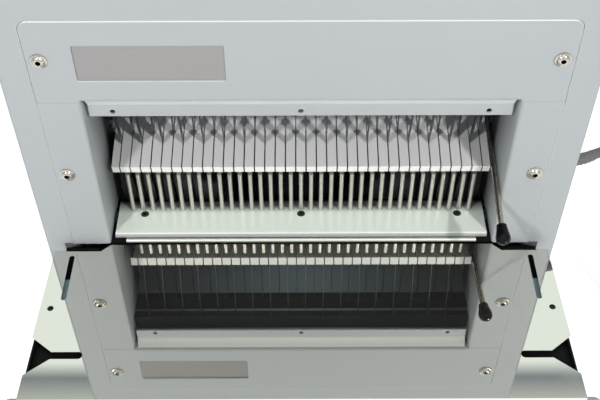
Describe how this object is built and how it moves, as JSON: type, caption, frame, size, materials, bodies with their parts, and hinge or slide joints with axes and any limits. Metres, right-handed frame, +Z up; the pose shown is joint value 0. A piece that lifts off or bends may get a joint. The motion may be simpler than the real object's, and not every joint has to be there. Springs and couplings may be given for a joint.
{
  "type": "bread slicer machine",
  "caption": "Bench bread slicer with crossing reciprocating blade frames, a slotted hold-down comb on a lever, a finger pusher, a loading lid, a crumb tray and a polished outfeed table",
  "frame": {"origin": "centre of the footprint on the bench, at the underside of the feet, without the cord", "axes": "+X to the right as seen by the user at the outfeed table, +Y into the machine, +Z up"},
  "size_m": [1.009, 0.746, 0.763],
  "materials": {
    "coat": "light grey powder coat, fine texture",
    "satin_steel": "satin stainless steel",
    "mirror_steel": "mirror-polished stainless sheet",
    "bright_steel": "bright ground steel",
    "pale_plate": "pale satin plate",
    "black_steel": "black painted steel",
    "rubber": "black rubber",
    "gloss_black": "glossy black plastic",
    "black_plastic": "matte black plastic",
    "grey_cord": "grey PVC sheath",
    "grey_plastic": "grey plastic",
    "green_plastic": "green push button",
    "red_plastic": "red push button"
  },
  "bodies": {
    "chassis": {"base_pan": "coat", "side_panel_left": "coat", "side_panel_right": "coat", "front_fascia": "coat", "rear_panel": "coat", "top_deck": "coat", "side_frames": "satin_steel", "top_cover": "coat", "column_cover_left": "coat", "column_cover_right": "coat", "nameplate": "satin_steel", "cover_screws": "bright_steel", "cover_brackets": "coat", "feet": "rubber", "outfeed_plate": "pale_plate", "outfeed_beam": "black_steel", "outfeed_screws": "black_steel", "crumb_bar": "bright_steel", "crumb_bar_ends": "black_plastic", "outfeed_table": "mirror_steel", "table_pan": "black_steel", "table_arms": "coat", "table_tube": "satin_steel", "tube_caps": "grey_plastic", "infeed_bed": "pale_plate", "guide_rods": "bright_steel", "rod_brackets": "black_steel", "pusher_rails": "bright_steel", "rail_brackets": "black_steel", "shaft_bearings": "black_steel", "motor": "coat", "motor_mount": "black_steel", "drive_belt": "rubber", "button_bezels": "black_plastic", "hinge_knuckles": "bright_steel", "cable_gland": "black_plastic", "mains_cord": "grey_cord", "cord_coil": "grey_cord", "cord_tie": "black_plastic", "mains_plug": "black_plastic"},
    "lid": {"lid": "coat", "lid_handle": "black_plastic"},
    "press": {"press_plate": "satin_steel", "press_shaft": "bright_steel", "press_lever": "bright_steel", "lever_knob": "gloss_black"},
    "pusher": {"pusher_beam": "satin_steel", "pusher_fingers": "bright_steel"},
    "front_saw": {"front_blade_frame": "black_steel", "front_blades": "bright_steel"},
    "rear_saw": {"rear_blade_frame": "black_steel", "rear_blades": "bright_steel"},
    "crank": {"crankshaft": "bright_steel", "crank_pulley": "black_steel"},
    "front_link": {"front_rods": "satin_steel"},
    "rear_link": {"rear_rods": "satin_steel"},
    "rotor": {"motor_rotor": "bright_steel"},
    "tray": {"crumb_tray": "satin_steel"},
    "start": {"start_button": "green_plastic"},
    "stop": {"stop_button": "red_plastic"}
  },
  "joints": [
    {"name": "lid_hinge", "type": "hinge", "parent": "chassis", "child": "lid", "pos_m": [0, 0.368, 0.704], "axis": [-1, 0, 0], "range_deg": [0, 80]},
    {"name": "press_swing", "type": "hinge", "parent": "chassis", "child": "press", "pos_m": [0, -0.008, 0.407], "axis": [-1, 0, 0], "range_deg": [0, 35]},
    {"name": "pusher_slide", "type": "slide", "parent": "chassis", "child": "pusher", "axis": [0, 1, 0], "range_m": [0, 0.28]},
    {"name": "front_saw_slide", "type": "slide", "parent": "chassis", "child": "front_saw", "axis": [0, -0.2756, 0.9613], "range_m": [-0.008, 0.008]},
    {"name": "rear_saw_slide", "type": "slide", "parent": "chassis", "child": "rear_saw", "axis": [0, -0.0698, 0.9976], "range_m": [-0.008, 0.008]},
    {"name": "crank_spin", "type": "hinge", "parent": "chassis", "child": "crank", "pos_m": [0, -0.043, 0.125], "axis": [1, 0, 0], "continuous": true},
    {"name": "front_link_pivot", "type": "hinge", "parent": "crank", "child": "front_link", "pos_m": [0, -0.035, 0.125], "axis": [1, 0, 0], "continuous": true},
    {"name": "rear_link_pivot", "type": "hinge", "parent": "crank", "child": "rear_link", "pos_m": [0, -0.051, 0.125], "axis": [1, 0, 0], "continuous": true},
    {"name": "rotor_spin", "type": "hinge", "parent": "chassis", "child": "rotor", "pos_m": [0.098, 0.182, 0.125], "axis": [1, 0, 0], "continuous": true},
    {"name": "tray_slide", "type": "slide", "parent": "chassis", "child": "tray", "axis": [0, -1, 0], "range_m": [0, 0.22]},
    {"name": "start_press", "type": "slide", "parent": "chassis", "child": "start", "axis": [0, 0, -1], "range_m": [0, 0.004], "stiffness_N_per_m": 400},
    {"name": "stop_press", "type": "slide", "parent": "chassis", "child": "stop", "axis": [0, 0, -1], "range_m": [0, 0.004], "stiffness_N_per_m": 400}
  ],
  "couplings": [
    {"joint": "rear_saw_slide", "follows": "front_saw_slide", "ratio": -1},
    {"joint": "front_link_pivot", "follows": "crank_spin", "ratio": -1},
    {"joint": "rear_link_pivot", "follows": "crank_spin", "ratio": -1},
    {"joint": "rotor_spin", "follows": "crank_spin", "ratio": 2.0784}
  ]
}
